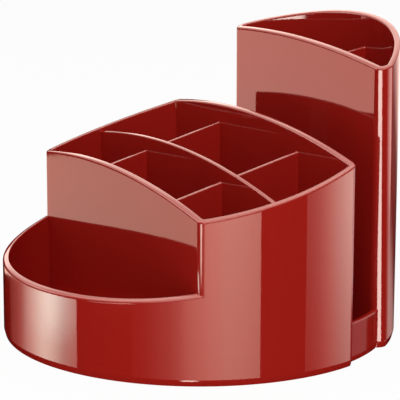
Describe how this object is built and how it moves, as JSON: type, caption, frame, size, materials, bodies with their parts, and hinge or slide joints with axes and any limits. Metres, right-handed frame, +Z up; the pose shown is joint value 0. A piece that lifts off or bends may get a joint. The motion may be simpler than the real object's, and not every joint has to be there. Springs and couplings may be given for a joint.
{
  "type": "pen holder",
  "caption": "Round desk pen holder of glossy plastic, with a low tray in front, a block of pen compartments, a note slot and a tall divided tower at the back.",
  "frame": {"origin": "centre of the round base, on the surface that it stands on", "axes": "+Z up, +Y towards the tower at the back, +X to the right seen from the tray"},
  "size_m": [0.14, 0.14, 0.109],
  "materials": {
    "red_plastic": "polished, opaque deep red"
  },
  "bodies": {
    "root": {"base_plate": "red_plastic", "tray_wall": "red_plastic", "block_shell": "red_plastic", "middle_divider": "red_plastic", "left_cross_divider": "red_plastic", "right_cross_divider": "red_plastic", "tower_shell": "red_plastic", "tower_divider": "red_plastic", "left_slot_sill": "red_plastic", "right_slot_sill": "red_plastic"}
  },
  "joints": []
}
